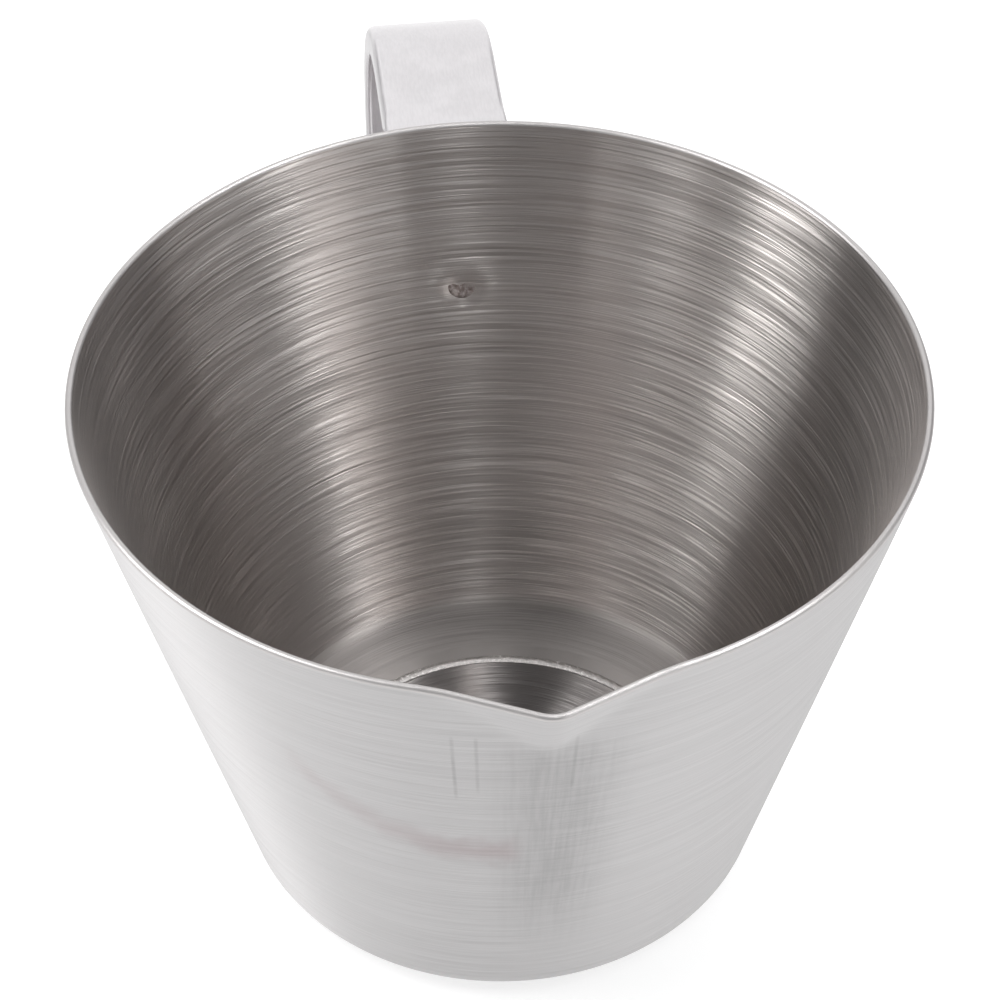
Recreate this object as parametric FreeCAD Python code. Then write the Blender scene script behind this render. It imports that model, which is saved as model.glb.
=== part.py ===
import FreeCAD, Part
import math
import os

"""Small stainless candle melting pot: a conical sheet-metal cup with a pressed V spout,
a welded-in base disc and a channel-section strap handle held by two spot welds.

Frame: +Z up, origin at the centre of the base's underside. The spout points to -Y and
the handle to +Y. All sizes are in millimetres.
"""

# ---- Driving dimensions -------------------------------------------------------------
HEIGHT = 48.0             # floor to rim
RIM_R = 33.5              # outside radius at the rim
BASE_R = 21.0             # outside radius where the cone would meet the floor
SHEET = 0.6               # thickness of the cup's sheet
CORNER_R = 3.7            # outside radius of the corner between wall and floor
LIP_R = 17.0              # inner edge of the wall's turned-in lip, under the cup

SPOUT_HALF_ANGLE = 16.5   # degrees either side of -Y where the spout leaves the round rim
SPOUT_TIP_R = 35.8        # outside radius of the spout's tip
SPOUT_DIP = 0.5           # how far the tip sinks below the rim
SPOUT_DEPTH = 9.5         # how far down the wall the press mark of the spout reaches
SPOUT_TIP_ROUND = 1.3     # rounding along the outside of the V

DISC_R = 16.2             # radius of the base disc
BEAD_HEIGHT = 0.15        # how far the weld bead stands proud inside

STRAP_W = 10.3            # width of the handle strap
STRAP_X = -0.65           # how far the strap sits beside the line of its two welds
STRAP_T = 0.55            # thickness of the handle strap
FLANGE = 2.4              # depth of the strap's turned-in edges
STRAP_EDGE_R = 0.7        # outside rounding along the strap's two long edges
HANDLE_TOP_Z = 47.2       # top face of the upper leg
HANDLE_LOW_Z = 12.6       # underside of the lower leg
HANDLE_FAR_Y = 60.0       # outside face of the far leg
UPPER_BEND_R = 16.5       # outside radius between the upper leg and the far leg
LOWER_BEND_R = 12.5       # outside radius between the far leg and the lower leg
ROOT_BEND_R = 1.3         # outside radius where each leg turns into its welded tab
ROOT_LENGTH = 2.2         # from the wall to where the strap's edges start to turn in
FLANGE_TAPER = 1.4        # length over which the turned-in edges reach their full depth
UPPER_TAB_END_Z = 28.5    # free end of the upper tab
LOWER_TAB_END_Z = 24.0    # free end of the lower tab
TAB_CORNER_R = 2.5        # rounded corners of each tab's free end

WELD_Z = {"spot_weld_upper": 33.4, "spot_weld_lower": 19.6}
WELD_R = 1.6              # radius of each spot weld nugget
DIMPLE_R = 1.4            # radius of the electrode's dimple inside the cup
DIMPLE_DEPTH = 0.2        # depth of that dimple

# ---- Values that follow -------------------------------------------------------------
LEAN = math.atan2(RIM_R - BASE_R, HEIGHT)      # the wall's angle from upright
STRAP_ACROSS = STRAP_T / math.cos(LEAN)        # a tab's thickness measured along a radius
BIG = 200.0                                    # longer than the whole object
TRIM = 3.0                                     # extra wall above the rim, cut off at the end
SPOUT_SIDE_X = RIM_R * math.sin(math.radians(SPOUT_HALF_ANGLE))
SPOUT_SIDE_Y = -RIM_R * math.cos(math.radians(SPOUT_HALF_ANGLE))
UPPER_START_Y = BASE_R + (RIM_R - BASE_R) * HANDLE_TOP_Z / HEIGHT + ROOT_LENGTH
LOWER_START_Y = BASE_R + (RIM_R - BASE_R) * HANDLE_LOW_Z / HEIGHT + ROOT_LENGTH


def vec(x, y, z):
    return FreeCAD.Vector(x, y, z)


def wall_r(z):
    """Outside radius of the conical wall at height z."""
    return BASE_R + (RIM_R - BASE_R) * z / HEIGHT


# ---- Outlines with rounded corners --------------------------------------------------
def rounded_face(corners, to_space):
    """Face inside a closed outline. Each corner is (u, v, radius)."""
    starts = []
    arcs = []
    count = len(corners)
    for i in range(count):
        before = vec(*corners[i - 1][:2], 0)
        here = vec(*corners[i][:2], 0)
        after = vec(*corners[(i + 1) % count][:2], 0)
        radius = corners[i][2]
        if radius == 0:
            starts.append((here, here))
            arcs.append(None)
            continue
        back = (before - here).normalize()
        ahead = (after - here).normalize()
        half = math.acos(back.dot(ahead)) / 2
        reach = radius / math.tan(half)
        middle = (back + ahead).normalize()
        top = here + middle * (radius / math.sin(half) - radius)
        starts.append((here + back * reach, here + ahead * reach))
        arcs.append(top)
    edges = []
    for i in range(count):
        enter, leave = starts[i]
        if arcs[i] is not None:
            edges.append(Part.Arc(to_space(enter), to_space(arcs[i]), to_space(leave)).toShape())
        reach_next = starts[(i + 1) % count][0]
        if (reach_next - leave).Length > 1e-6:
            edges.append(Part.LineSegment(to_space(leave), to_space(reach_next)).toShape())
    return Part.Face(Part.Wire(edges))


def in_side_view(p):
    return vec(0, p.x, p.y)


def in_front_view(p):
    return vec(p.x, 0, p.y)


def turned(corners):
    """Solid of revolution about Z from an outline of (radius, height, rounding)."""
    return rounded_face(corners, in_front_view).revolve(vec(0, 0, 0), vec(0, 0, 1), 360)


def across_strap(corners, width):
    """Prism centred on X = 0 from an outline of (y, z, rounding)."""
    face = rounded_face(corners, in_side_view)
    face.translate(vec(-width / 2, 0, 0))
    return face.extrude(vec(width, 0, 0))


# ---- Cup ----------------------------------------------------------------------------
def cone_body(inset):
    """Solid cone of the cup's outside, or of its hollow when inset by the sheet."""
    across = inset / math.cos(LEAN)
    top = HEIGHT + TRIM
    return turned([(0, inset, 0), (wall_r(inset) - across, inset, CORNER_R - inset),
                   (wall_r(top) - across, top, 0), (0, top, 0)])


def spout_wedge(inset):
    """Wedge that pushes the round wall out into a V, its faces inset by the sheet."""
    across = inset / math.cos(LEAN)
    shrink = 1 - across / RIM_R
    side_x = SPOUT_SIDE_X * shrink
    side_y = SPOUT_SIDE_Y * shrink
    flank = math.atan2(SPOUT_TIP_R + SPOUT_SIDE_Y, SPOUT_SIDE_X)
    low_z = HEIGHT - SPOUT_DEPTH
    low = vec(0, across - wall_r(low_z), low_z)

    def carried_up(rim_point):
        """Point on the line from the wedge's foot through rim_point, above the rim."""
        rise = rim_point - low
        return low + rise * ((HEIGHT + TRIM - low_z) / rise.z)

    left = carried_up(vec(-side_x, side_y, HEIGHT))
    right = carried_up(vec(side_x, side_y, HEIGHT))
    tip = carried_up(vec(0, across / math.cos(flank) - SPOUT_TIP_R, HEIGHT - SPOUT_DIP))
    back = vec(0, side_y / 2, HEIGHT + TRIM)
    triangles = [(left, tip, back), (tip, right, back), (left, low, tip), (tip, low, right),
                 (left, back, low), (back, right, low)]
    faces = [Part.Face(Part.makePolygon([a, b, c, a])) for a, b, c in triangles]
    wedge = Part.makeSolid(Part.makeShell(faces))
    if wedge.Volume < 0:
        wedge.reverse()
    return wedge


def with_spout(inset, ridge_radius):
    """Cone with the V pushed out of it and the V's ridge rounded."""
    body = cone_body(inset).fuse(spout_wedge(inset)).removeSplitter()

    def is_ridge(edge):
        ends = [v.Point for v in edge.Vertexes]
        return len(ends) == 2 and all(abs(p.x) < 1e-4 and p.y < -RIM_R / 2 for p in ends) \
            and abs(ends[0].z - ends[1].z) > SPOUT_DEPTH / 2
    return body.makeFillet(ridge_radius, [e for e in body.Edges if is_ridge(e)])


def above_rim():
    """Everything above the rim: level all round, and sloping down to the spout's tip."""
    level = Part.makeBox(BIG, BIG, BIG, vec(-BIG / 2, -BIG / 2, HEIGHT))
    reach = -BIG / 2 - SPOUT_SIDE_Y
    slope = SPOUT_DIP / (SPOUT_TIP_R + SPOUT_SIDE_Y)
    far_y = SPOUT_SIDE_Y + reach
    dipping = across_strap([(SPOUT_SIDE_Y, HEIGHT, 0), (far_y, HEIGHT + reach * slope, 0),
                            (far_y, HEIGHT + TRIM, 0), (SPOUT_SIDE_Y, HEIGHT + TRIM, 0)], BIG)
    return level.fuse(dipping)


def cup_solid():
    outside = with_spout(0, SPOUT_TIP_ROUND)
    hollow = with_spout(SHEET, SPOUT_TIP_ROUND - SHEET)
    return outside.cut(hollow).cut(above_rim())


def wall_shell():
    opening = Part.makeCylinder(LIP_R, 4 * SHEET, vec(0, 0, -SHEET))
    return cup_solid().cut(opening)


def base_disc():
    return Part.makeCylinder(DISC_R, SHEET)


def base_weld():
    """Bead that fills the gap between the lip and the disc, crowned inside the cup."""
    middle = (DISC_R + LIP_R) / 2
    low_in = vec(DISC_R, 0, 0)
    low_out = vec(LIP_R, 0, 0)
    high_out = vec(LIP_R, 0, SHEET)
    high_in = vec(DISC_R, 0, SHEET)
    crown = vec(middle, 0, SHEET + BEAD_HEIGHT)
    edges = [Part.LineSegment(low_in, low_out).toShape(),
             Part.LineSegment(low_out, high_out).toShape(),
             Part.Arc(high_out, crown, high_in).toShape(),
             Part.LineSegment(high_in, low_in).toShape()]
    return Part.Face(Part.Wire(edges)).revolve(vec(0, 0, 0), vec(0, 0, 1), 360)


# ---- Handle -------------------------------------------------------------------------
def loop_outline(inset, depth):
    """Outline of the loop's band, from inset to depth inside its outer face."""
    top = HANDLE_TOP_Z
    low = HANDLE_LOW_Z
    far = HANDLE_FAR_Y
    return [(UPPER_START_Y, top - inset, 0),
            (far - inset, top - inset, UPPER_BEND_R - inset),
            (far - inset, low + inset, LOWER_BEND_R - inset),
            (LOWER_START_Y, low + inset, 0),
            (LOWER_START_Y, low + depth, 0),
            (far - depth, low + depth, LOWER_BEND_R - depth),
            (far - depth, top - depth, UPPER_BEND_R - depth),
            (UPPER_START_Y, top - depth, 0)]


def is_outer_long_edge(edge):
    """True for the two corners of the band that run along the loop's outer face."""
    middle = edge.valueAt((edge.FirstParameter + edge.LastParameter) / 2)
    if abs(abs(middle.x) - STRAP_W / 2) > 1e-6:
        return False
    if hasattr(edge.Curve, "Radius"):
        return edge.Curve.Radius in (UPPER_BEND_R, LOWER_BEND_R)
    from_faces = (middle.z - HANDLE_TOP_Z, middle.z - HANDLE_LOW_Z, middle.y - HANDLE_FAR_Y)
    return min(abs(d) for d in from_faces) < 1e-6


def channel_loop():
    """The strap from root to root, with both edges turned in towards the hand."""
    band = across_strap(loop_outline(0, FLANGE), STRAP_W)
    band = band.makeFillet(STRAP_EDGE_R, [e for e in band.Edges if is_outer_long_edge(e)])
    trough = across_strap(loop_outline(STRAP_T, FLANGE + SHEET), STRAP_W - 2 * STRAP_T)
    loop = band.cut(trough).cut(flange_tapers())
    loop.translate(vec(STRAP_X, 0, 0))
    return loop


def flange_tapers():
    """Cutters that bring the turned-in edges down to nothing at both roots."""
    top_under = HANDLE_TOP_Z - STRAP_T
    low_over = HANDLE_LOW_Z + STRAP_T
    upper = [(UPPER_START_Y - 1, top_under, 0), (UPPER_START_Y, top_under, 0),
             (UPPER_START_Y + FLANGE_TAPER, HANDLE_TOP_Z - FLANGE, 0),
             (UPPER_START_Y + FLANGE_TAPER, top_under - FLANGE, 0),
             (UPPER_START_Y - 1, top_under - FLANGE, 0)]
    lower = [(LOWER_START_Y - 1, low_over, 0), (LOWER_START_Y, low_over, 0),
             (LOWER_START_Y + FLANGE_TAPER, HANDLE_LOW_Z + FLANGE, 0),
             (LOWER_START_Y + FLANGE_TAPER, low_over + FLANGE, 0),
             (LOWER_START_Y - 1, low_over + FLANGE, 0)]
    return across_strap(upper, 2 * STRAP_W).fuse(across_strap(lower, 2 * STRAP_W))


def tab(leg_z, inward, end_z):
    """Tab that lies on the cone, with the bend that leads to a level leg at leg_z."""
    leg_inner_z = leg_z + inward * STRAP_T
    leg_end_r = wall_r(leg_z) + ROOT_LENGTH + STRAP_T
    outline = [(wall_r(end_z), end_z, 0),
               (wall_r(leg_z), leg_z, ROOT_BEND_R),
               (leg_end_r, leg_z, 0),
               (leg_end_r, leg_inner_z, 0),
               (wall_r(leg_inner_z) + STRAP_ACROSS, leg_inner_z, ROOT_BEND_R - STRAP_T),
               (wall_r(end_z) + STRAP_ACROSS, end_z, 0)]
    ring = turned(outline)
    left = STRAP_X - STRAP_W / 2
    right = STRAP_X + STRAP_W / 2
    past_leg_z = leg_z - inward * BIG
    mask = rounded_face([(left, end_z, TAB_CORNER_R), (right, end_z, TAB_CORNER_R),
                         (right, past_leg_z, 0), (left, past_leg_z, 0)], in_front_view)
    return ring.common(mask.extrude(vec(0, BIG, 0)))


def handle_blank():
    upper = tab(HANDLE_TOP_Z, -1, UPPER_TAB_END_Z)
    lower = tab(HANDLE_LOW_Z, 1, LOWER_TAB_END_Z)
    return channel_loop().fuse([upper, lower]).removeSplitter()


# ---- Spot welds ---------------------------------------------------------------------
def weld_plug(height):
    """Cylinder square to the wall, long enough to pass through wall and tab."""
    outward = vec(0, math.cos(LEAN), -math.sin(LEAN))
    on_wall = vec(0, wall_r(height), height)
    return Part.makeCylinder(WELD_R, 8 * SHEET, on_wall - outward * 4 * SHEET, outward)


def electrode_dimple(height):
    """Ball whose tip leaves the shallow round mark on the cup's inner face."""
    outward = vec(0, math.cos(LEAN), -math.sin(LEAN))
    ball_r = (DIMPLE_R ** 2 + DIMPLE_DEPTH ** 2) / (2 * DIMPLE_DEPTH)
    on_inner_face = vec(0, wall_r(height), height) - outward * SHEET
    return Part.makeSphere(ball_r, on_inner_face - outward * (ball_r - DIMPLE_DEPTH))


def spot_weld(height, wall, handle):
    plug = weld_plug(height)
    through = wall.common(plug).fuse(handle.common(plug)).removeSplitter()
    return through.cut(electrode_dimple(height))


# ---- Put together and write ---------------------------------------------------------
def main():
    wall = wall_shell()
    handle = handle_blank()
    plugs = [weld_plug(z) for z in WELD_Z.values()]
    nodes = {
        "wall_shell": wall.cut(plugs),
        "base_disc": base_disc(),
        "base_weld_bead": base_weld(),
        "handle_strap": handle.cut(plugs),
    }
    for name, height in WELD_Z.items():
        nodes[name] = spot_weld(height, wall, handle)
    os.makedirs("parts", exist_ok=True)
    for name, shape in nodes.items():
        solids = shape.Solids
        solid = solids[0]
        solid.exportStep("parts/" + name + ".step")
        box = solid.BoundBox
        print("%-18s solids %d valid %s volume %9.3f  x %.2f..%.2f y %.2f..%.2f z %.2f..%.2f"
              % (name, len(solids), solid.isValid(), solid.Volume, box.XMin, box.XMax,
                 box.YMin, box.YMax, box.ZMin, box.ZMax))


main()
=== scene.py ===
import math

import bmesh
import bpy
from mathutils import Matrix, Vector, noise


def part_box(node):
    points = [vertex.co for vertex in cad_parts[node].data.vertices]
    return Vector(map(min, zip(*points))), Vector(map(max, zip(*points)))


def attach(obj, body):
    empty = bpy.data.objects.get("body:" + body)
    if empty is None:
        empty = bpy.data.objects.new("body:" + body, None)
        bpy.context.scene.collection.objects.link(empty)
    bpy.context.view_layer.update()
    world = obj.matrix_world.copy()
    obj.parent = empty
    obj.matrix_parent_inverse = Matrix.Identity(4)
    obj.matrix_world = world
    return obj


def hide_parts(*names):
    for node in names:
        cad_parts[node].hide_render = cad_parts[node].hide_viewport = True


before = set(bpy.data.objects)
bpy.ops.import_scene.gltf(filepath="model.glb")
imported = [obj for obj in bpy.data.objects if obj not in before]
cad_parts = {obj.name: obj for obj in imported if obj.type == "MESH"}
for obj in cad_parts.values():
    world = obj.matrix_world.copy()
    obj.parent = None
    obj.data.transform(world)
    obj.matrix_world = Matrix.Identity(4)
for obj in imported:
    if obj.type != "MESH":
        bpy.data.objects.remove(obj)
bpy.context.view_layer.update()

MM = 0.001

# ---- Sizes, in millimetres, from the frame where it holds them ------------------------
def box_mm(node):
    """Lowest and highest corner of a CAD node, in millimetres."""
    return [[value / MM for value in corner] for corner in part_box(node)]


WALL_LO, WALL_HI = box_mm("wall_shell")
STRAP_LO, STRAP_HI = box_mm("handle_strap")
DISC_LO, DISC_HI = box_mm("base_disc")
BEAD_LO, BEAD_HI = box_mm("base_weld_bead")

HEIGHT = WALL_HI[2]
RIM_R = WALL_HI[1]
FLARE = 12.5                       # how much the cone's radius grows from floor to rim
BASE_R = RIM_R - FLARE             # where the cone would meet the floor
SHEET = DISC_HI[2]
CORNER_R = 3.7
LIP_R = BEAD_HI[0]
DISC_R = DISC_HI[0]
DISC_SOFT = 0.08                   # softened edge of the disc
RIM_ROUND = 0.28
RIM_TOP = HEIGHT - 0.45            # last level of the wall before the rim turns over
LEAN = math.atan2(RIM_R - BASE_R, HEIGHT)

SPOUT_HALF_ANGLE = math.radians(16.5)
SPOUT_TIP_R = 35.8
SPOUT_DIP = 0.5
SPOUT_DEPTH = 9.5
SPOUT_FOOT = HEIGHT - SPOUT_DEPTH
RIDGE_SOFT = 1.1                   # softness of the V's ridge
RIDGE_BACKSET = RIDGE_SOFT / 4     # what the soft ridge takes off the tip
FLANK_SOFT = 0.28                  # softness where the flanks meet the cone

STRAP_W = STRAP_HI[0] - STRAP_LO[0]
STRAP_X = (STRAP_HI[0] + STRAP_LO[0]) / 2
STRAP_T = 0.55
FLANGE = 2.4                       # how deep the turned-in edges are
EDGE_R = 0.7                       # the strap's long edges
TAB_EDGE_R = 0.16                  # the same edges along a tab
TIP_R = 0.2                        # the free ends of the turned-in edges
TROUGH_R = 0.12                    # the corners inside the channel
LEG_TOP = STRAP_HI[2]
LEG_LOW = STRAP_LO[2]
FAR_Y = STRAP_HI[1]
UPPER_BEND_R = 16.5
LOWER_BEND_R = 12.5
ROOT_BEND_R = 1.3
ROOT_CLEAR = 1.6                   # how far off the wall the strap leaves its root
UPPER_TAB_END = 28.5
LOWER_TAB_END = 24.0
TAB_CORNER_R = 2.5

WELD_R = 1.4                       # the dimple inside
BOWL_R = 0.75 * WELD_R             # spread of the dimple's bowl
BOWL_GAIN = 1.25                   # depth of the bowl, as a share of the dimple's
SWELL_R = 1.5 * WELD_R             # radius of the low swelling round the bowl
SWELL_SPREAD = 0.5 * WELD_R
SWELL_GAIN = 0.22
BUTTON_R = 0.8 * WELD_R            # the flat button on the tab
# Each dimple's depth, and how far its nugget stands out of it. The lower weld is brushed over.
WELD_SHAPES = {"spot_weld_upper": (0.2, 0.012), "spot_weld_lower": (0.02, -0.03)}

# The marks and the painted shade outside. Angles are in degrees round from the spout, heights are
# from the floor.
SMUDGE_START = -38
SMUDGE_END = -4
SMUDGE_Z = 24.4
SMUDGE_RISE = 7.6                  # how much higher the smudge starts than it ends
THIN_MARKS = [(-12.8, 32.0, 42.0), (-9.6, 33.0, 42.0), (3.7, 33.0, 42.0)]
SHADE_BAND_ANGLE = 2.0                 # middle of the painted shade band under the spout


def wall_r(z):
    """Outside radius of the plain cone at a height."""
    return BASE_R + (RIM_R - BASE_R) * z / HEIGHT


def weld_height(node):
    """Height of a spot weld's centre."""
    lo, hi = box_mm(node)
    return (lo[2] + hi[2]) / 2


WELDS = [(node, weld_height(node), *shape) for node, shape in WELD_SHAPES.items()]
LOWER_WELD_Z = weld_height("spot_weld_lower")


# ---- Mesh helpers ---------------------------------------------------------------------
def make_piece(name, points, faces, materials, face_materials=None, smooth_angle=40):
    """Object from points in millimetres, with welded vertices and outward normals."""
    mesh = bpy.data.meshes.new(name)
    mesh.from_pydata([[c * MM for c in p] for p in points], [], faces)
    for material in materials:
        mesh.materials.append(material)
    if face_materials:
        mesh.polygons.foreach_set("material_index", face_materials)
    work = bmesh.new()
    work.from_mesh(mesh)
    bmesh.ops.remove_doubles(work, verts=work.verts, dist=1e-7)
    bmesh.ops.dissolve_degenerate(work, edges=work.edges, dist=1e-7)
    bmesh.ops.recalc_face_normals(work, faces=work.faces)
    work.to_mesh(mesh)
    work.free()
    mesh.shade_smooth()
    mesh.set_sharp_from_angle(angle=math.radians(smooth_angle))
    piece = bpy.data.objects.new(name, mesh)
    bpy.context.collection.objects.link(piece)
    return piece


def smooth_step(low, high, value):
    """0 below low, 1 above high, and a smooth rise between them."""
    t = min(max((value - low) / (high - low), 0.0), 1.0)
    return t * t * (3 - 2 * t)


def quarter_turn(steps):
    """Angles from zero to a right angle."""
    return [math.pi / 2 * k / steps for k in range(steps + 1)]


def arc_points(centre, radius, start, stop, steps):
    """Points of an arc in the radius and height plane, angles in radians."""
    angles = [start + (stop - start) * i / steps for i in range(steps + 1)]
    return [(centre[0] + radius * math.cos(a), centre[1] + radius * math.sin(a))
            for a in angles]


def spread(low, high, step):
    """Evenly spaced values from low to high, about one step apart, without the last."""
    count = max(1, round((high - low) / step))
    return [low + (high - low) * i / count for i in range(count)]


def grid_faces(rows, columns, closed_rows=True):
    """Quads of a grid whose vertex index is row * columns + column. Columns close round."""
    faces = []
    for i in range(rows if closed_rows else rows - 1):
        up = (i + 1) % rows
        for j in range(columns):
            beside = (j + 1) % columns
            faces.append((i * columns + j, i * columns + beside,
                          up * columns + beside, up * columns + j))
    return faces


# ---- Cup wall -------------------------------------------------------------------------
OUTSIDE_SLOT = 0
INSIDE_SLOT = 1
RIM_SLOT = 2
CORNER_STEPS = 10
RIM_STEPS = 4
LIP_STEP = 0.4


def smooth_min(a, b, softness):
    """Smaller of two values, rounded off where they cross."""
    share = max(softness - abs(a - b), 0.0) / softness
    return min(a, b) - share * share * softness / 4


def flank_plane():
    """Normal and offset of the V's right flank, through its rim end, its tip and its foot."""
    side = Vector((RIM_R * math.sin(SPOUT_HALF_ANGLE),
                   RIM_R * math.cos(SPOUT_HALF_ANGLE), HEIGHT))
    tip = Vector((0, SPOUT_TIP_R + RIDGE_BACKSET, HEIGHT - SPOUT_DIP))
    foot = Vector((0, wall_r(SPOUT_FOOT), SPOUT_FOOT))
    normal = (tip - side).cross(foot - side).normalized()
    if normal.y < 0:
        normal.negate()
    return normal, normal.dot(side)


FLANK_N, FLANK_C = flank_plane()


def outer_radius(angle, z):
    """Outside radius of the wall at an angle from the spout and a height."""
    cone = wall_r(z)
    facing = math.atan2(FLANK_N.x, FLANK_N.y)
    if abs(angle) >= facing:
        return cone
    fade = smooth_step(SPOUT_HALF_ANGLE, facing, abs(angle))
    softness = FLANK_SOFT * (1.001 - fade)         # always a little above zero
    reach = []
    for side in (-1, 1):
        across = FLANK_N.x * side * math.sin(angle) + FLANK_N.y * math.cos(angle)
        reach.append((FLANK_C - FLANK_N.z * z) / across)
    wedge = smooth_min(reach[0], reach[1], RIDGE_SOFT)
    return -smooth_min(-cone, -wedge, softness)


def rim_height(angle):
    """Height of the rim, which sinks a little towards the spout's tip."""
    near = max(0.0, 1 - abs(angle) / SPOUT_HALF_ANGLE)
    return HEIGHT - SPOUT_DIP * near


def wall_point(angle, level):
    """Point on the wall's outside. Level is the height before the rim's dip."""
    z = level
    if level > SPOUT_FOOT:
        z = SPOUT_FOOT + (level - SPOUT_FOOT) * (rim_height(angle) - SPOUT_FOOT) / SPOUT_DEPTH
    r = outer_radius(angle, z)
    return Vector((r * math.sin(angle), -r * math.cos(angle), z))


def wall_frame(angle, level):
    """Point on the outside, its outward normal and the direction up the wall."""
    small = 0.02
    here = wall_point(angle, level)
    low = wall_point(angle, level - small)
    round_step = small / RIM_R
    ahead = wall_point(angle + round_step, level) - wall_point(angle - round_step, level)
    up = (here - low).normalized()
    return here, ahead.cross(up).normalized(), up


def dimple_depth(point):
    """How deep the electrodes' dimples are at a point of the wall's inner face."""
    depth = 0.0
    for _, height, deepest, _ in WELDS:
        away = math.hypot(point.x, (point.z - height) / math.cos(LEAN))
        if point.y > 0 and away < 3 * WELD_R:
            bowl = math.exp(-(away / BOWL_R) ** 2)
            swell = math.exp(-((away - SWELL_R) / SWELL_SPREAD) ** 2)
            depth = depth + deepest * (BOWL_GAIN * bowl - SWELL_GAIN * swell)
    return depth


def inner_point(angle, level):
    """Point on the wall's inside, with the dimples pressed into it."""
    outside, normal, _ = wall_frame(angle, level)
    inside = outside - normal * SHEET
    return inside + normal * dimple_depth(inside)


def wall_angles():
    """Angles round the wall from the spout, closer at the spout and at the welds."""
    dense = math.radians(0.5)
    coarse = math.radians(1.5)
    spout_edge = math.radians(24)
    weld_edge = math.radians(171)
    half = spread(0, spout_edge, dense) + spread(spout_edge, weld_edge, coarse)
    half = half + spread(weld_edge, math.pi, dense)
    return half + [math.pi] + [-a for a in reversed(half[1:])]


def wall_levels(bottom):
    """Levels up the straight wall, closer at the two welds and up the spout."""
    stretches = [(bottom, 17.0, 1.0), (17.0, 22.0, 0.3), (22.0, 31.0, 1.0),
                 (31.0, 36.0, 0.3), (36.0, RIM_TOP, 0.5)]
    levels = []
    for low, high, step in stretches:
        levels.extend(spread(low, high, step))
    return levels + [RIM_TOP]


def ring(angles, r, z):
    """Points round the axis at one radius and height."""
    return [Vector((r * math.sin(a), -r * math.cos(a), z)) for a in angles]


def rim_rows(angles):
    """Rows over the rounded rim, from just above the last outer level to the inner one."""
    frames = [wall_frame(a, RIM_TOP) for a in angles]
    turns = [(RIM_ROUND, turn) for turn in quarter_turn(RIM_STEPS)[1:]]
    turns.extend((SHEET - RIM_ROUND, math.pi / 2 + turn) for turn in quarter_turn(RIM_STEPS))
    rows = []
    for centre_in, turn in turns:
        across = centre_in - RIM_ROUND * math.cos(turn)
        rise = RIM_ROUND * math.sin(turn)
        rows.append([p - n * across + u * rise for p, n, u in frames])
    return rows


def wall_rows(angles):
    """Rows of the wall's section, as outside, rim and inside, which close into a loop.

    The outside starts at the lip's edge underneath, and the inside ends above it.
    """
    reach = CORNER_R / math.tan((math.pi / 2 + LEAN) / 2)
    centre = (BASE_R - reach, CORNER_R)
    levels = wall_levels(reach * math.cos(LEAN))
    lip_steps = spread(LIP_R, centre[0], LIP_STEP)
    corner = arc_points(centre, CORNER_R, -math.pi / 2, -LEAN, CORNER_STEPS)
    inner_corner = arc_points(centre, CORNER_R - SHEET, -LEAN, -math.pi / 2, CORNER_STEPS)

    outside = [ring(angles, r, 0) for r in lip_steps]
    outside.extend(ring(angles, r, z) for r, z in corner[:-1])
    outside.extend([wall_point(a, level) for a in angles] for level in levels[:-1])
    over_rim = rim_rows(angles)
    rim = [[wall_point(a, RIM_TOP) for a in angles]] + over_rim[:-1]
    inside = [over_rim[-1]]
    inside.extend([inner_point(a, level) for a in angles] for level in reversed(levels[:-1]))
    inside.extend(ring(angles, r, z) for r, z in inner_corner[1:])
    inside.extend(ring(angles, r, SHEET) for r in reversed(lip_steps))
    return outside, rim, inside


def build_wall(outside_material, inside_material, rim_material):
    """The wall as one closed sheet: outside, rim, inside and turned-in lip."""
    angles = wall_angles()
    outside, rim, inside = wall_rows(angles)
    rows = outside + rim + inside
    slots = ([OUTSIDE_SLOT] * len(outside) + [RIM_SLOT] * len(rim)
             + [INSIDE_SLOT] * len(inside))
    points = [p for row in rows for p in row]
    faces = grid_faces(len(rows), len(angles))
    face_slots = [slots[i // len(angles)] for i in range(len(faces))]
    return make_piece("wall", points, faces,
                      [outside_material, inside_material, rim_material], face_slots)


# ---- Lathe-turned pieces --------------------------------------------------------------
def lathe(name, profile, segments, materials, rise=None, closed=False):
    """Piece turned about Z from (radius, height) points. Radius 0 closes an end.

    rise gives the extra height of a profile point at an angle.
    """
    points = []
    for index, (r, z) in enumerate(profile):
        for j in range(segments):
            a = 2 * math.pi * j / segments
            extra = rise(index, a) if rise else 0.0
            points.append((r * math.sin(a), -r * math.cos(a), z + extra))
    faces = grid_faces(len(profile), segments, closed_rows=closed)
    return make_piece(name, points, faces, materials)


def build_disc(material):
    """Base disc with a softened edge on both faces."""
    flat_r = DISC_R - DISC_SOFT
    radii = spread(0, flat_r, 0.8) + [flat_r]
    profile = [(r, SHEET) for r in radii] + [(DISC_R, SHEET - DISC_SOFT), (DISC_R, DISC_SOFT)]
    profile = profile + [(r, 0.0) for r in reversed(radii)]
    return lathe("disc", profile, 180, [material])


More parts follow.
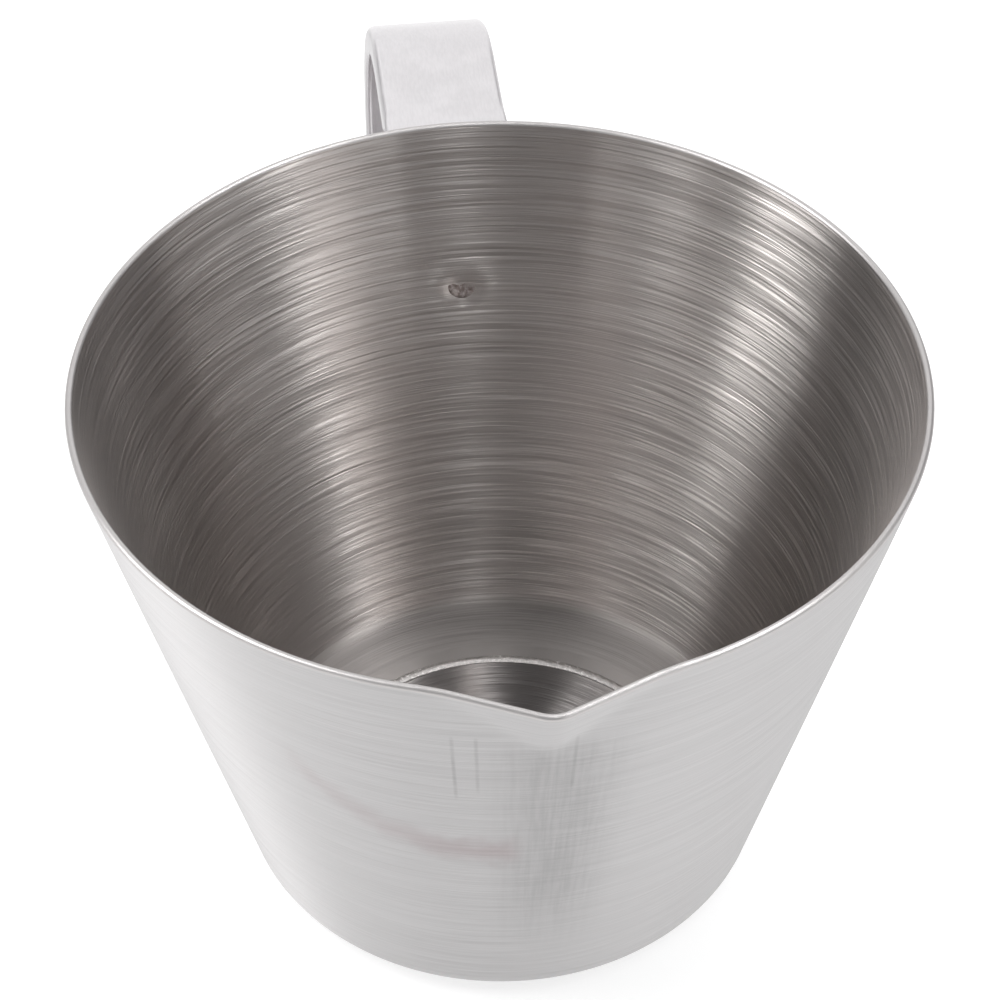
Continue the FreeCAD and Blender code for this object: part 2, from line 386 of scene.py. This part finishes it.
def build_bead(material):
    """Weld bead: a crowned ring with the small uneven ripples of a run-round weld."""
    middle = (DISC_R + LIP_R) / 2
    half = (LIP_R - DISC_R) / 2
    crown = BEAD_HI[2] - SHEET
    smooth_share = 0.75            # share of the crown that is there without the ripples
    ripple_share = 0.35
    steps = 6
    top = []
    for k in range(steps + 1):
        across = -1 + 2 * k / steps
        crowned = crown * (1 - across * across) * smooth_share
        top.append((middle + across * half, SHEET + crowned))
    profile = [(DISC_R, 0.0)] + top + [(LIP_R, 0.0)]

    def ripple(index, a):
        if index in (0, 1, len(profile) - 2, len(profile) - 1):
            return 0.0
        where = Vector((math.cos(a), math.sin(a), index * 0.02)) * 30
        uneven = noise.noise(where) * 0.35 + noise.noise(where * 3) * 0.35
        return crown * ripple_share * uneven
    return lathe("weld_bead", profile, 360, [material], ripple, closed=True)


# ---- Spot welds -----------------------------------------------------------------------
def nugget_depth(away, angle, height, deepest, proud):
    """How far the nugget's inner face lies behind the wall's, at a place on the face."""
    place = Vector((math.cos(angle) * away, math.sin(angle) * away, height))
    bowl = deepest * BOWL_GAIN * math.exp(-(away / BOWL_R) ** 2) - proud
    rough = 0.1 * deepest * noise.noise(place * 1.7)
    sunk_edge = 0.1 * smooth_step(0.85, 1.0, away / WELD_R)
    return bowl + rough + sunk_edge


def build_nugget(name, height, deepest, proud, material):
    """Nugget that fills the dimple inside and shows as a flat button on the tab."""
    outward = Vector((0, math.cos(LEAN), -math.sin(LEAN)))
    up = Vector((0, math.sin(LEAN), math.cos(LEAN)))
    side = Vector((1, 0, 0))
    outside = Vector((0, wall_r(height), height))
    inside = outside - outward * SHEET
    segments = 40
    rings = 7
    inner_rings = [(True, index) for index in range(rings)]
    outer_rings = [(False, index) for index in reversed(range(rings))]
    points = []
    for is_inner, index in inner_rings + outer_rings:
        away = WELD_R * 0.98 * index / (rings - 1)
        button = 0.03 if away < BUTTON_R else 0.0
        for j in range(segments):
            a = 2 * math.pi * j / segments
            if is_inner:
                at = inside + outward * nugget_depth(away, a, height, deepest, proud)
            else:
                at = outside + outward * (STRAP_T + button - 0.02)
            across = away * math.cos(a)
            wrapped = wall_r(height) - math.sqrt(wall_r(height) ** 2 - across ** 2)
            points.append(at + side * across + up * away * math.sin(a) - outward * wrapped)
    faces = grid_faces(2 * rings, segments, closed_rows=False)
    return make_piece(name, points, faces, [material])


# ---- Handle ---------------------------------------------------------------------------
PATH_STEP = 0.6
FLAT_STEPS = 8
SIDE_STEPS = 4
TIP_STEPS = 3
EDGE_STEPS = 6


def corner_arc(before, corner, after, radius, steps):
    """Points that round a corner of the strap's path, with the radius at its outside."""
    back = (before - corner).normalized()
    ahead = (after - corner).normalized()
    half = back.angle(ahead) / 2
    reach = radius / math.tan(half)
    centre = corner + (back + ahead).normalized() * (radius / math.sin(half))
    start = corner + back * reach - centre
    stop = corner + ahead * reach - centre
    total = start.angle(stop)
    points = []
    for i in range(steps + 1):
        t = i / steps
        spoke = start * math.sin((1 - t) * total) + stop * math.sin(t * total)
        points.append(centre + spoke / math.sin(total))
    return points


def strap_path():
    """The strap's outer face in the middle plane, from one tab's end to the other's."""
    def on_wall(z):
        return Vector((wall_r(z), z))
    marks = [on_wall(UPPER_TAB_END), on_wall(LEG_TOP), Vector((FAR_Y, LEG_TOP)),
             Vector((FAR_Y, LEG_LOW)), on_wall(LEG_LOW), on_wall(LOWER_TAB_END)]
    bends = [(ROOT_BEND_R, 8), (UPPER_BEND_R, 40), (LOWER_BEND_R, 32), (ROOT_BEND_R, 8)]
    path = [marks[0]]
    for i, (radius, steps) in enumerate(bends):
        path.extend(corner_arc(marks[i], marks[i + 1], marks[i + 2], radius, steps))
    path.append(marks[-1])
    dense = [path[0]]
    for p, q in zip(path, path[1:]):
        pieces = max(1, round((q - p).length / PATH_STEP))
        dense.extend(p.lerp(q, k / pieces) for k in range(1, pieces + 1))
    return dense


def mirrored(half_outline):
    """The same outline's other half, without the point that the two share."""
    return [(-x, d) for x, d in reversed(half_outline[:-1])]


def strap_section(width, depth, edge_r):
    """Closed outline (across, inward) of the channel: outside first, then the trough."""
    half = width / 2
    tip = depth - TIP_R
    outer = [(half - TIP_R + TIP_R * math.sin(a), tip + TIP_R * math.cos(a))
             for a in quarter_turn(TIP_STEPS)]
    outer.extend((half, tip + (edge_r - depth + TIP_R) * (k + 1) / SIDE_STEPS)
                 for k in range(SIDE_STEPS))
    outer.extend((half - edge_r + edge_r * math.cos(a), edge_r - edge_r * math.sin(a))
                 for a in quarter_turn(EDGE_STEPS)[1:])
    outer.extend(((half - edge_r) * (1 - k / FLAT_STEPS), 0.0)
                 for k in range(1, FLAT_STEPS + 1))

    inner = half - STRAP_T
    low = min(tip, STRAP_T + TROUGH_R)
    trough = [(inner + TIP_R - TIP_R * math.sin(a), tip + TIP_R * math.cos(a))
              for a in quarter_turn(TIP_STEPS)[1:]]
    trough.extend((inner, tip + (low - depth + TIP_R) * (k + 1) / SIDE_STEPS)
                  for k in range(SIDE_STEPS))
    trough.extend((inner - TROUGH_R + TROUGH_R * math.cos(a), low - (low - STRAP_T) * math.sin(a))
                  for a in quarter_turn(TIP_STEPS)[1:])
    trough.extend(((inner - TROUGH_R) * (1 - k / FLAT_STEPS), STRAP_T)
                  for k in range(1, FLAT_STEPS + 1))
    return outer + mirrored(outer) + list(reversed(trough + mirrored(trough)))


def path_lengths(path):
    """Length along the path up to each of its points."""
    lengths = [0.0]
    for p, q in zip(path, path[1:]):
        lengths.append(lengths[-1] + (q - p).length)
    return lengths


def root_lengths(path, lengths):
    """Where along the path the strap leaves the wall and comes back to it."""
    clear = [s for s, p in zip(lengths, path) if p.x > wall_r(p.y) + ROOT_CLEAR]
    return clear[0], clear[-1]


def tab_narrowing(from_end):
    """How far each side of a tab is rounded in, at a distance from the tab's end."""
    left = TAB_CORNER_R - from_end
    if left <= 0:
        return 0.0
    return TAB_CORNER_R - math.sqrt(max(TAB_CORNER_R ** 2 - left ** 2, 0.0))


def strap_ring(p, inward, from_root, from_end):
    """The channel's outline at a point of the path, wrapped round the wall along a tab."""
    depth = STRAP_T + (FLANGE - STRAP_T) * smooth_step(0.0, 2.6, from_root)
    edge_r = TAB_EDGE_R + (EDGE_R - TAB_EDGE_R) * smooth_step(-1.0, 2.2, from_root)
    tab_like = 1 - smooth_step(6.0, 9.0, from_root)
    wrap_r = wall_r(p.y)
    points = []
    for across, d in strap_section(STRAP_W - 2 * tab_narrowing(from_end), depth, edge_r):
        x = STRAP_X + across
        wrapped = wrap_r - math.sqrt(max(wrap_r ** 2 - x ** 2, 0.0))
        points.append((x, p.x + inward.x * d - wrapped * tab_like, p.y + inward.y * d))
    return points


def end_cap(first, count):
    """Quads across a tab's end, from the outside of the outline to its trough side."""
    return [(first + k, first + k + 1, first + count - 2 - k, first + count - 1 - k)
            for k in range(count // 2 - 1)]


def build_handle(material):
    """The bent channel strap with its two tabs."""
    path = strap_path()
    lengths = path_lengths(path)
    upper_root, lower_root = root_lengths(path, lengths)
    points = []
    for i, p in enumerate(path):
        ahead = path[min(i + 1, len(path) - 1)] - path[max(i - 1, 0)]
        ahead.normalize()
        from_root = min(lengths[i] - upper_root, lower_root - lengths[i])
        from_end = min(lengths[i], lengths[-1] - lengths[i])
        points.extend(strap_ring(p, Vector((ahead.y, -ahead.x)), from_root, from_end))
    count = len(points) // len(path)
    faces = grid_faces(len(path), count, closed_rows=False)
    for end in (0, len(path) - 1):
        faces.extend(end_cap(end * count, count))
    return make_piece("handle", points, faces, [material], smooth_angle=50)


# ---- Material nodes -------------------------------------------------------------------
class Graph:
    """Short calls for building one material's nodes."""

    def __init__(self, name):
        self.material = bpy.data.materials.new(name)
        self.material.use_nodes = True
        self.tree = self.material.node_tree
        self.shader = self.tree.nodes["Principled BSDF"]

    def node(self, kind, **settings):
        made = self.tree.nodes.new(kind)
        for key, value in settings.items():
            setattr(made, key, value)
        return made

    def feed(self, socket, value):
        if isinstance(value, bpy.types.NodeSocket):
            self.tree.links.new(value, socket)
        elif value is not None:
            socket.default_value = value

    def math(self, operation, a, b=None, c=None, clamp=False):
        made = self.node("ShaderNodeMath", operation=operation, use_clamp=clamp)
        for socket, value in zip(made.inputs, (a, b, c)):
            self.feed(socket, value)
        return made.outputs[0]

    def times(self, a, b):
        return self.math("MULTIPLY", a, b)

    def plus(self, a, b):
        return self.math("ADD", a, b)

    def minus(self, a, b):
        return self.math("SUBTRACT", a, b)

    def vector(self, operation, a, b=None, scale=None):
        made = self.node("ShaderNodeVectorMath", operation=operation)
        self.feed(made.inputs[0], a)
        if b is not None:
            self.feed(made.inputs[1], b)
        if scale is not None:
            self.feed(made.inputs["Scale"], scale)
        return made.outputs["Vector"]

    def scaled(self, vector, by):
        return self.vector("SCALE", vector, scale=by)

    def split(self, vector):
        made = self.node("ShaderNodeSeparateXYZ")
        self.feed(made.inputs[0], vector)
        return made.outputs

    def join(self, x, y, z):
        made = self.node("ShaderNodeCombineXYZ")
        for socket, value in zip(made.inputs, (x, y, z)):
            self.feed(socket, value)
        return made.outputs[0]

    def noise(self, vector, detail=2.0, roughness=0.5):
        made = self.node("ShaderNodeTexNoise", noise_dimensions="3D")
        self.feed(made.inputs["Vector"], vector)
        made.inputs["Scale"].default_value = 1.0
        made.inputs["Detail"].default_value = detail
        made.inputs["Roughness"].default_value = roughness
        return made.outputs["Fac"]

    def remap(self, value, low, high, to_low=0.0, to_high=1.0):
        made = self.node("ShaderNodeMapRange", interpolation_type="SMOOTHSTEP")
        made.inputs["From Min"].default_value = low
        made.inputs["From Max"].default_value = high
        made.inputs["To Min"].default_value = to_low
        made.inputs["To Max"].default_value = to_high
        self.feed(made.inputs["Value"], value)
        return made.outputs[0]

    def mix(self, factor, a, b):
        made = self.node("ShaderNodeMix", data_type="RGBA")
        self.feed(made.inputs["Factor"], factor)
        self.feed(made.inputs[6], a)
        self.feed(made.inputs[7], b)
        return made.outputs[2]

    def position_mm(self):
        coordinates = self.node("ShaderNodeTexCoord").outputs["Object"]
        return self.scaled(coordinates, 1 / MM)

    def bump(self, height, distance_mm):
        made = self.node("ShaderNodeBump")
        made.inputs["Strength"].default_value = 1.0
        made.inputs["Distance"].default_value = distance_mm * MM
        self.feed(made.inputs["Height"], height)
        return made.outputs[0]

    def surface(self, key, value):
        """Set one of the shader's own sockets, or link it to a node's output."""
        self.feed(self.shader.inputs[key], value)


def turned_frame(graph):
    """Position, direction round the axis and height, for grooves that run round the cup."""
    at = graph.position_mm()
    x, y, z = graph.split(at)
    squares = graph.plus(graph.times(x, x), graph.times(y, y))
    radius = graph.math("MAXIMUM", graph.math("SQRT", squares), 0.01)
    cosine = graph.math("DIVIDE", x, radius)
    sine = graph.math("DIVIDE", graph.times(y, -1.0), radius)
    return {"at": at, "z": z, "radius": radius, "cos": cosine, "sin": sine,
            "along": graph.join(sine, cosine, 0.0)}


def groove_noise(graph, turned, reach, density, across, detail):
    """Noise drawn out round the axis: reach sets its length, density its closeness."""
    vector = graph.join(graph.times(turned["cos"], reach), graph.times(turned["sin"], reach),
                        graph.times(across, density))
    return graph.noise(vector, detail=detail, roughness=0.6)


def brushed(name, colour, roughness, anisotropy, hairs, streaks, lift, tint, across="z"):
    """Steel with grooves round the axis.

    hairs and streaks are (length, closeness) of the fine and the coarse grooves. lift is how
    far the fine and the coarse grooves tip the surface up or down the wall, and how far the
    coarse ones turn it sideways. tint is how strongly the grooves shade the colour.
    """
    graph = Graph(name)
    turned = turned_frame(graph)
    height = turned[across]
    hair = groove_noise(graph, turned, hairs[0], hairs[1], height, detail=3.0)
    streak = groove_noise(graph, turned, streaks[0], streaks[1], height, detail=2.0)
    hair_lift, streak_lift, streak_turn = lift

    normal = graph.node("ShaderNodeNewGeometry").outputs["Normal"]
    up_wall = graph.vector("NORMALIZE", graph.vector("CROSS_PRODUCT", turned["along"], normal))
    tip = graph.plus(graph.times(graph.minus(hair, 0.5), hair_lift),
                     graph.times(graph.minus(streak, 0.5), streak_lift))
    turn = graph.times(graph.minus(streak, 0.5), streak_turn)
    tipped = graph.vector("ADD", normal, graph.scaled(up_wall, tip))
    tipped = graph.vector("ADD", tipped, graph.scaled(turned["along"], turn))

    lines = graph.plus(graph.times(hair, 0.5), graph.times(streak, 0.5))
    base = graph.scaled(colour, graph.remap(lines, 0.3, 0.7, 1.0 - tint, 1.0 + tint))
    graph.base = base
    graph.turned = turned
    graph.surface("Base Color", base)
    graph.surface("Metallic", 1.0)
    graph.surface("Roughness", graph.remap(lines, 0.25, 0.75, roughness + 0.03, roughness - 0.03))
    graph.surface("Anisotropic", anisotropy)
    graph.surface("Normal", graph.vector("NORMALIZE", tipped))
    graph.surface("Tangent", up_wall)
    return graph


def inside_steel():
    """Turned steel, duller and darker in the lower corner."""
    roughness = 0.30
    graph = brushed("steel_turned_inside", (0.50, 0.47, 0.455), roughness, 1.0,
                    hairs=(2.5, 14.0), streaks=(1.3, 6.5), lift=(2.0, 0.32, 0.06), tint=0.04)
    dull = graph.remap(graph.turned["z"], 1.8, 4.6, 1.0, 0.0)
    shade = graph.math("MULTIPLY_ADD", dull, -0.32, 1.0)
    graph.surface("Base Color", graph.scaled(graph.base, shade))
    graph.surface("Roughness", graph.math("MULTIPLY_ADD", dull, 0.42, roughness))
    return graph.material


def smudge_strength(graph, angle, z, patchy):
    """The curved smudge beside the spout, from 0 to how strong it is."""
    span = SMUDGE_END - SMUDGE_START
    run = graph.math("DIVIDE", graph.minus(SMUDGE_END, angle), span, clamp=True)
    middle = graph.math("MULTIPLY_ADD", graph.math("POWER", run, 2.6), SMUDGE_RISE, SMUDGE_Z)
    away = graph.math("ABSOLUTE", graph.minus(z, middle))
    band = graph.remap(graph.plus(away, graph.times(patchy, 3.0)), 1.3, 4.4, 1.0, 0.0)
    ends = graph.times(graph.remap(angle, SMUDGE_START - 4, SMUDGE_START + 3),
                       graph.remap(angle, SMUDGE_END - 2, SMUDGE_END + 2, 1.0, 0.0))
    strength = graph.remap(angle, SMUDGE_START, SMUDGE_END, 0.25, 0.62)
    return graph.times(graph.times(band, ends), strength)


def thin_marks(graph, angle, z):
    """The thin upright marks under the rim, 1 on a mark and 0 off it."""
    marks = 0.0
    for place, low, high in THIN_MARKS:
        side = graph.math("ABSOLUTE", graph.minus(angle, place))
        ends = graph.times(graph.remap(z, low, low + 2), graph.remap(z, high - 1, high, 1.0, 0.0))
        mark = graph.times(graph.remap(side, 0.05, 0.42, 1.0, 0.0), ends)
        marks = graph.math("MAXIMUM", marks, mark)
    return marks


def painted_shade_under_spout(graph, angle, z):
    """How much painted shade darkens the band under the spout, in place of the dark reflection
    there.
    """
    streaky = graph.noise(graph.join(graph.times(angle, 0.9), 0.0, graph.times(z, 0.12)),
                          detail=3.0, roughness=0.6)
    side = graph.math("ABSOLUTE", graph.minus(angle, SHADE_BAND_ANGLE))
    ends = graph.times(graph.remap(z, 5.0, 20.0), graph.remap(z, 38.5, 42.0, 1.0, 0.0))
    # Painted shade: a streaky band under the spout is darkened in the colour, standing in for the
    # dark reflection that falls there.
    patch = graph.times(graph.remap(side, 1.0, 13.0, 1.0, 0.0), ends)
    return graph.times(patch, graph.remap(streaky, 0.3, 0.7, 0.10, 0.21))


def outside_steel():
    """Satin steel with the smudge, the thin marks and painted shade under the spout."""
    graph = brushed("steel_satin_outside", (0.56, 0.55, 0.55), 0.48, 0.86,
                    hairs=(3.0, 12.0), streaks=(1.2, 3.0), lift=(0.8, 0.12, 0.03), tint=0.03)
    z = graph.turned["z"]
    angle = graph.math("DEGREES", graph.math("ARCTAN2", graph.turned["cos"], graph.turned["sin"]))
    patchy = graph.noise(graph.scaled(graph.turned["at"], 0.55), detail=3.0)
    marked = graph.times(graph.times(thin_marks(graph, angle, z), patchy), 0.24)
    # Painted shade under the spout, added to the real thin marks.
    darker = graph.plus(painted_shade_under_spout(graph, angle, z), marked)
    shaded = graph.scaled(graph.base, graph.minus(1.0, darker))
    stained = graph.mix(smudge_strength(graph, angle, z, patchy), shaded, (0.43, 0.365, 0.37, 1))
    graph.surface("Base Color", stained)
    return graph.material


def rim_steel():
    """The rounded edge, smoother than the wall."""
    return brushed("steel_polished_rim", (0.53, 0.51, 0.505), 0.42, 0.3, hairs=(14.0, 6.0),
                   streaks=(3.0, 1.0), lift=(0.1, 0.1, 0.03), tint=0.05).material


def disc_steel():
    """Darker steel with grooves that follow the disc's radius."""
    return brushed("steel_turned_disc", (0.25, 0.235, 0.23), 0.33, 1.0, hairs=(2.5, 14.0),
                   streaks=(1.3, 5.0), lift=(1.4, 0.3, 0.06), tint=0.05, across="radius").material


def bead_steel():
    """Grainy weld: dull, with bright crystals gathered in a few patches."""
    graph = Graph("steel_weld_bead")
    at = graph.position_mm()
    grain = graph.noise(graph.scaled(at, 3.0), detail=4.0, roughness=0.65)
    patches = graph.remap(graph.noise(graph.scaled(at, 0.16), detail=1.0), 0.5, 0.62)
    crystal = graph.times(graph.remap(grain, 0.55, 0.66), patches)
    dull = graph.scaled((0.50, 0.48, 0.47), graph.remap(grain, 0.3, 0.7, 0.8, 1.2))
    graph.surface("Base Color", graph.mix(crystal, dull, (0.95, 0.94, 0.93, 1)))
    graph.surface("Metallic", 1.0)
    graph.surface("Roughness", graph.remap(crystal, 0.0, 1.0, 0.52, 0.85))
    graph.surface("Normal", graph.bump(grain, 0.07))
    return graph.material


def handle_steel():
    """Satin steel with a faint grain along the strap, and painted shade on its two turned-in
    sides.
    """
    graph = Graph("steel_satin_handle")
    at = graph.position_mm()
    x, y, z = graph.split(at)
    drawn_out = graph.join(graph.times(x, 6.0), graph.times(y, 1.2), graph.times(z, 1.2))
    grain = graph.noise(drawn_out, detail=3.0, roughness=0.6)
    cloud = graph.noise(graph.scaled(at, 0.35), detail=2.0)
    shade = graph.plus(graph.remap(grain, 0.3, 0.7, 0.97, 1.03),
                       graph.remap(cloud, 0.3, 0.7, -0.03, 0.03))
    from_middle = graph.math("ABSOLUTE", graph.minus(x, STRAP_X))
    # Painted shade: the strap's turned-in sides are darkened in the colour, as they face away from
    # the light.
    side = graph.remap(from_middle, STRAP_W / 2 - 0.3, STRAP_W / 2 - 0.03, 1.0, 0.62)
    graph.surface("Base Color", graph.scaled((0.70, 0.68, 0.69), graph.times(shade, side)))
    graph.surface("Metallic", 1.0)
    graph.surface("Roughness", graph.remap(cloud, 0.3, 0.7, 0.30, 0.38))
    graph.surface("Normal", graph.bump(grain, 0.004))
    return graph.material


def nugget_steel():
    """Burnt, grainy steel. The lower nugget has the colour of the wall round it."""
    graph = Graph("steel_spot_weld")
    at = graph.position_mm()
    grain = graph.noise(graph.scaled(at, 2.2), detail=4.0, roughness=0.6)
    burnt = graph.mix(graph.remap(grain, 0.35, 0.65), (0.24, 0.20, 0.19, 1), (0.46, 0.42, 0.41, 1))
    z = graph.split(at)["Z"]
    brushed_over = graph.remap(z, LOWER_WELD_Z + 2, LOWER_WELD_Z + 4, 1.0, 0.0)
    graph.surface("Base Color", graph.mix(brushed_over, burnt, (0.46, 0.43, 0.42, 1)))
    graph.surface("Metallic", 1.0)
    graph.surface("Roughness", graph.remap(grain, 0.3, 0.7, 0.32, 0.5))
    graph.surface("Normal", graph.bump(grain, 0.06))
    return graph.material


# ---- Studio, in metres ----------------------------------------------------------------
VIEW_TURN = math.radians(-6.3)     # the camera stands this far round from the spout's side
VIEW_DOWN = math.radians(42.96)
VIEW_ROLL = -0.0046                # radians
VIEW_BACK = 0.20903
VIEW_HEIGHT = 0.23008
LENS = 129.6                       # millimetres, for the sensor below
SENSOR = 36.0
LIGHTS_AIM = Vector((0, 0, 0.03))
STRIP_DISTANCE = 0.70
FLOOR_HALF = 4.0
FLOOR_Z = -0.00005                 # just under the cup, so that the two never share a plane
FLOOR_GREY = 0.45
FLOOR_GLOW = 0.67                  # keeps the floor white round the cup


def turned_to_view(x, y, z):
    """Direction or place seen from the camera's side (+X right, +Y away), in the scene."""
    return Matrix.Rotation(VIEW_TURN, 3, "Z") @ Vector((x, y, z))


def add_camera():
    """Camera at the photo's view."""
    data = bpy.data.cameras.new("camera")
    data.lens = LENS
    data.sensor_width = SENSOR
    data.clip_start = 0.01
    data.clip_end = 20.0
    camera = bpy.data.objects.new("camera", data)
    bpy.context.collection.objects.link(camera)
    aim = Matrix.Rotation(VIEW_TURN, 4, "Z") @ Matrix.Rotation(math.pi / 2 - VIEW_DOWN, 4, "X")
    aim = aim @ Matrix.Rotation(VIEW_ROLL, 4, "Z")
    camera.matrix_world = Matrix.Translation(turned_to_view(0, -VIEW_BACK, VIEW_HEIGHT)) @ aim
    bpy.context.scene.camera = camera


def area_light(name, size, power):
    """Rectangular light that the camera doesn't see."""
    data = bpy.data.lights.new(name, "AREA")
    data.shape = "RECTANGLE"
    data.size, data.size_y = size
    data.energy = power
    light = bpy.data.objects.new(name, data)
    light.visible_camera = False
    bpy.context.collection.objects.link(light)
    return light


def add_softbox(name, direction, distance, size, power):
    """Light that faces the cup from a direction seen from the camera's side."""
    light = area_light(name, size, power)
    back = turned_to_view(*direction).normalized() * distance
    light.location = LIGHTS_AIM + back
    light.rotation_euler = back.to_track_quat("Z", "Y").to_euler()


def add_strip(name, start, end, width, power):
    """Long narrow light between two directions seen from the camera's side."""
    first, last = [turned_to_view(*way).normalized() * STRIP_DISTANCE for way in (start, end)]
    middle = (first + last) / 2
    light = area_light(name, (width, (last - first).length), power)
    along = (last - first).normalized()
    facing = (middle - along * middle.dot(along)).normalized()
    turn = Matrix((along.cross(facing), along, facing)).transposed().to_4x4()
    light.matrix_world = Matrix.Translation(middle) @ turn


def add_floor():
    """Plain pale floor."""
    mesh = bpy.data.meshes.new("floor")
    corners = [(-1, -1), (1, -1), (1, 1), (-1, 1)]
    mesh.from_pydata([(x * FLOOR_HALF, y * FLOOR_HALF, FLOOR_Z) for x, y in corners],
                     [], [(0, 1, 2, 3)])
    graph = Graph("floor_white")
    graph.surface("Base Color", (FLOOR_GREY, FLOOR_GREY, FLOOR_GREY, 1))
    graph.surface("Roughness", 0.8)
    graph.surface("Specular IOR Level", 0.0)
    graph.surface("Emission Color", (1.0, 1.0, 1.0, 1))
    graph.surface("Emission Strength", FLOOR_GLOW)
    mesh.materials.append(graph.material)
    floor = bpy.data.objects.new("floor", mesh)
    bpy.context.collection.objects.link(floor)


def add_world():
    """Even, slightly cool light from all round."""
    world = bpy.data.worlds.new("world")
    world.use_nodes = True
    background = world.node_tree.nodes["Background"]
    background.inputs["Color"].default_value = (0.97, 0.98, 1.0, 1)
    background.inputs["Strength"].default_value = 0.30
    bpy.context.scene.world = world
    bpy.context.scene.view_settings.view_transform = "Standard"


def add_lights():
    """Softboxes at the sides, three strips for the bright sectors inside, and two backdrops."""
    add_softbox("softbox_left_low", (-0.90, -0.05, 0.42), 0.55, (0.22, 0.16), 0.55)
    add_softbox("softbox_left_middle", (-0.75, -0.05, 0.66), 0.55, (0.16, 0.20), 0.72)
    add_softbox("softbox_left_high", (-0.58, 0.05, 0.81), 0.55, (0.14, 0.24), 0.52)
    add_softbox("softbox_right", (0.90, -0.05, 0.42), 0.55, (0.22, 0.16), 0.15)
    add_strip("strip_right", (0.64, -0.35, 0.69), (0.234, 0.35, 0.907), 0.055, 1.70)
    add_strip("strip_left", (-0.50, -0.35, 0.79), (-0.22, 0.30, 0.93), 0.06, 0.62)
    add_strip("strip_top", (0.119, -0.60, 0.79), (0.04, 0.30, 0.953), 0.015, 0.52)
    add_softbox("fill_left", (-0.62, -0.75, 0.28), 0.70, (0.34, 0.20), 0.20)
    add_softbox("fill_right", (0.62, -0.75, 0.28), 0.70, (0.34, 0.20), 0.33)
    add_softbox("backdrop", (0.0, 0.87, 0.48), 0.70, (0.80, 0.76), 1.55)
    add_softbox("backdrop_left", (-0.65, 0.65, 0.38), 0.70, (0.40, 0.30), 0.22)


# ---- Put together ---------------------------------------------------------------------
def settle(piece, node):
    """Fix a piece to the cup in place of its CAD node."""
    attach(piece, "root")
    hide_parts(node)


add_camera()
settle(build_wall(outside_steel(), inside_steel(), rim_steel()), "wall_shell")
settle(build_disc(disc_steel()), "base_disc")
settle(build_bead(bead_steel()), "base_weld_bead")
settle(build_handle(handle_steel()), "handle_strap")
for weld_node, weld_z, weld_depth, weld_proud in WELDS:
    nugget_name = weld_node.replace("weld", "nugget")
    nugget = build_nugget(nugget_name, weld_z, weld_depth, weld_proud, nugget_steel())
    settle(nugget, weld_node)
add_floor()
add_world()
add_lights()
